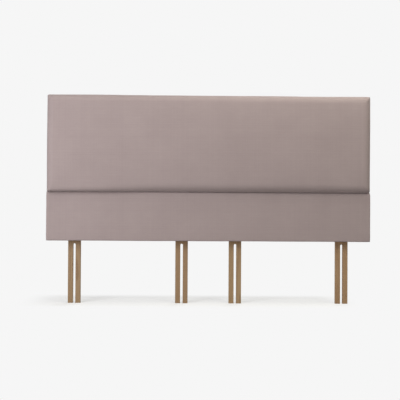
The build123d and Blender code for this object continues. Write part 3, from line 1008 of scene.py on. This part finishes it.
# Card strip that keeps the plain cover's turned edge straight along the seam: grey-brown
# pressed card with a fibrous face.
card_grey = (0.3, 0.27, 0.22, 1)
card_dark = (0.17, 0.15, 0.12, 1)
card, card_tree, card_shader = finish_named("pressed_card")
card_stretch = node(
    card_tree,
    "Mapping",
    {"Vector": node(card_tree, "TexCoord").outputs["Object"], "Scale": (250, 900, 900)},
)
card_fibres = node(card_tree, "TexNoise", {"Vector": card_stretch.outputs[0], "Scale": 1, "Detail": 4})
card_tree.links.new(
    mix_of(card_tree, card_fibres.outputs[0], card_dark, card_grey), card_shader.inputs["Base Color"]
)
card_roughness = spread_of(card_tree, card_fibres.outputs[0], 0.8, 0.95)
card_tree.links.new(card_roughness, card_shader.inputs["Roughness"])
card_bump = node(
    card_tree, "Bump", {"Height": card_fibres.outputs[0], "Strength": 0.3, "Distance": 0.0002}
)
card_tree.links.new(card_bump.outputs[0], card_shader.inputs["Normal"])
dress("seam_tack_strip", card)

# Bolts, washers, tee nuts and panel screws: pressed and rolled steel with bright zinc
# plating, cloudy in patches and rubbed along fine lines where a spanner or driver turned.
plated_steel, (plate_in, plate_out) = effect(
    "plated_steel",
    [("Vector", "Vector"), ("Cloud Size", "Float")],
    [("Clouds", "Float"), ("Rubs", "Float")],
)
cloud_scale = value_of(plated_steel, "DIVIDE", 1, plate_in.outputs["Cloud Size"])
clouds = node(
    plated_steel,
    "TexNoise",
    {"Vector": plate_in.outputs["Vector"], "Scale": cloud_scale, "Detail": 4, "Roughness": 0.6},
)
rub_stretch = node(
    plated_steel, "Mapping", {"Vector": plate_in.outputs["Vector"], "Scale": (400, 400, 6000)}
)
rub_lines = node(plated_steel, "TexNoise", {"Vector": rub_stretch.outputs[0], "Scale": 1, "Detail": 2})
rubs = node(plated_steel, "MapRange", {0: rub_lines.outputs[0], 1: 0.5, 2: 0.75})
plated_steel.links.new(clouds.outputs[0], plate_out.inputs["Clouds"])
plated_steel.links.new(rubs.outputs[0], plate_out.inputs["Rubs"])


def steel_finish(name, pale, dull, cloud_size, roughness):
    """Zinc-plated steel, from its pale and its dull tone."""
    made, tree, shader = finish_named(name)
    plate = use_effect(
        tree, plated_steel, {"Vector": node(tree, "TexCoord").outputs["Object"], "Cloud Size": cloud_size}
    )
    tree.links.new(mix_of(tree, plate.outputs["Clouds"], dull, pale), shader.inputs["Base Color"])
    rubbed = value_of(tree, "MULTIPLY_ADD", plate.outputs["Rubs"], 0.15, roughness)
    clouded = value_of(tree, "ADD", rubbed, spread_of(tree, plate.outputs["Clouds"], 0.12, -0.08))
    tree.links.new(clouded, shader.inputs["Roughness"])
    bump = node(tree, "Bump", {"Height": plate.outputs["Rubs"], "Strength": 0.2, "Distance": 0.00005})
    tree.links.new(bump.outputs[0], shader.inputs["Normal"])
    shader.inputs["Metallic"].default_value = 1
    return made


bright_zinc = steel_finish(
    "bright_zinc",
    pale=(0.7, 0.72, 0.75, 1),
    dull=(0.42, 0.44, 0.47, 1),
    cloud_size=0.006,
    roughness=0.3,
)
screw_zinc = steel_finish(
    "screw_zinc",
    pale=(0.68, 0.62, 0.45, 1),
    dull=(0.45, 0.4, 0.28, 1),
    cloud_size=0.004,
    roughness=0.28,
)
for side in sides:
    for fixing in ("strut_bolts", "strut_washers", "tee_nuts"):
        dress(f"{fixing}_{side}", bright_zinc)
dress("panel_screws", screw_zinc)

# Staples: galvanised wire, driven by an air gun. They hold the covers round the back, the
# card strip and the turned cloth at the seam, and the dust cloth's edge.
staple_wire = steel_finish(
    "staple_wire",
    pale=(0.66, 0.67, 0.68, 1),
    dull=(0.36, 0.37, 0.38, 1),
    cloud_size=0.003,
    roughness=0.35,
)
for row in ("cover_staples", "back_cloth_staples", "seam_staples"):
    dress(row, staple_wire)

# Camera: about four metres in front of the board, half a metre up and a little left of the
# middle, turned and tipped slightly as in the photograph.
camera_place = Vector((-0.118, -4.0, 0.529))
pitch, lean, yaw = (math.radians(turn) for turn in (0.714, -0.331, 0.988))
camera_data = bpy.data.cameras.new("front_camera")
camera_data.lens = 64.66
camera_data.sensor_width = 36
camera = bpy.data.objects.new("front_camera", camera_data)
bpy.context.scene.collection.objects.link(camera)
camera.matrix_world = (
    Matrix.Translation(camera_place)
    @ Matrix.Rotation(-yaw, 4, "Z")
    @ Matrix.Rotation(math.pi / 2 + pitch, 4, "X")
    @ Matrix.Rotation(-lean, 4, "Z")
)
bpy.context.scene.camera = camera
bpy.context.scene.view_settings.view_transform = "Standard"

# Floor and surround: a plain pale floor under an even pale surround, both seen at the same level. The
# floor keeps the object's soft shadow where it stands, and fades into the surround further out. Near the
# feet its glow is also cut a little more than the lamps' light there gives back: a faint painted shadow
# under the object.
floor_width = 30
pale = 0.9216
shadow_share = 0.53
shadow_centre = (-0.1, 0.14, 0)
shadow_inner = (0.72, 0.14)
shadow_outer = (0.98, 0.31)
# The light taken to reach the floor by the feet is set a little above what the lamps give there, so the
# glow is cut too far: painted shade.
floor_light_and_painted_shade = 0.85
ambient_strength = 0.15
bpy.ops.object.select_all(action="DESELECT")
bpy.ops.mesh.primitive_plane_add(size=floor_width, location=(0, 0, 0))
floor = bpy.context.object
floor.name = "floor"
floor_finish, floor_tree, floor_shader = finish_named("pale_floor")
floor_tree.nodes.remove(floor_shader)


def straight_ray(tree):
    """Whether a ray comes from the camera, off a glossy surface or through a clear one."""
    seen = node(tree, "LightPath")
    either = value_of(tree, "MAXIMUM", seen.outputs["Is Camera Ray"], seen.outputs["Is Glossy Ray"])
    return value_of(tree, "MAXIMUM", either, seen.outputs["Is Transmission Ray"])


foot_place = node(
    floor_tree,
    "VectorMath",
    {0: node(floor_tree, "TexCoord").outputs["Object"], 1: shadow_centre},
    operation="SUBTRACT",
)
foot_ways = node(floor_tree, "SeparateXYZ", {0: foot_place.outputs[0]})
foot_fades = [
    node(
        floor_tree,
        "MapRange",
        {0: value_of(floor_tree, "ABSOLUTE", way), 1: outer, 2: inner},
        interpolation_type="SMOOTHSTEP",
    ).outputs[0]
    for way, inner, outer in zip(foot_ways.outputs, shadow_inner, shadow_outer)
]
foot_share = value_of(floor_tree, "MULTIPLY", *foot_fades)
foot_share = value_of(floor_tree, "MULTIPLY", foot_share, shadow_share)
# The glow is lowered by the foot share times the floor light. As that light is set above the real one, the
# zone is painted faintly darker: painted shadow.
foot_glow = value_of(floor_tree, "MULTIPLY_ADD", foot_share, -floor_light_and_painted_shade, pale)
glow = node(floor_tree, "Emission", {"Color": (1, 1, 1, 1), "Strength": foot_glow})
paint = node(floor_tree, "BsdfDiffuse", {"Color": foot_share})
shown = node(floor_tree, "AddShader", {0: glow.outputs[0], 1: paint.outputs[0]})
bounce = node(floor_tree, "BsdfDiffuse", {"Color": (0.4, 0.4, 0.4, 1)})
floor_mix = node(
    floor_tree, "MixShader", {0: straight_ray(floor_tree), 1: bounce.outputs[0], 2: shown.outputs[0]}
)
floor_tree.links.new(floor_mix.outputs[0], floor_tree.nodes["Material Output"].inputs["Surface"])
floor.data.materials.append(floor_finish)

world = bpy.data.worlds.new("pale_surround")
bpy.context.scene.world = world
world.use_nodes = True
world_tree = world.node_tree
ambient = node(world_tree, "Background", {"Color": (1, 1, 1, 1), "Strength": ambient_strength})
backdrop = node(world_tree, "Background", {"Color": (pale, pale, pale, 1), "Strength": 1})
world_mix = node(
    world_tree, "MixShader", {0: straight_ray(world_tree), 1: ambient.outputs[0], 2: backdrop.outputs[0]}
)
world_tree.links.new(world_mix.outputs[0], world_tree.nodes["World Output"].inputs["Surface"])

# Lamps: a soft box high at the left front and a low one beside it, one high at the right
# front, a faint one past the right end, one over the top edge and one behind. A row gives a
# lamp's name, place, aim, size, power and colour.
lamp_rows = (
    ("key_left", (-1.9, -2.6, 2.3), (-0.2, 0, 0.8), (1.6, 1.6), 49, (0.99, 0.995, 1)),
    ("low_left", (-2.3, -1.9, 0.55), (-0.5, 0, 0.6), (1.2, 0.7), 24, (0.99, 0.995, 1)),
    ("high_right", (1.5, -2.0, 2.6), (0.5, 0, 0.95), (1.2, 1.2), 20, (1, 0.98, 0.82)),
    ("right_side", (2.3, -0.8, 1.9), (0.7, 0, 1.0), (1.0, 1.0), 5, (1, 0.98, 0.9)),
    ("over_top", (0.75, -0.36, 2.6), (0.7, 0, 0.9), (1.6, 0.9), 17, (1, 0.98, 0.86)),
    ("behind", (0.8, 2.8, 1.9), (0, 0, 0.7), (1.8, 1.8), 34, (1, 1, 1)),
)
for name, place, aim, size, power, colour in lamp_rows:
    lamp_data = bpy.data.lights.new(name, "AREA")
    lamp_data.shape = "RECTANGLE"
    lamp_data.size, lamp_data.size_y = size
    lamp_data.energy = power
    lamp_data.color = colour
    lamp = bpy.data.objects.new(name, lamp_data)
    bpy.context.scene.collection.objects.link(lamp)
    lamp.location = place
    lamp.rotation_euler = (Vector(aim) - Vector(place)).to_track_quat("-Z", "Y").to_euler()
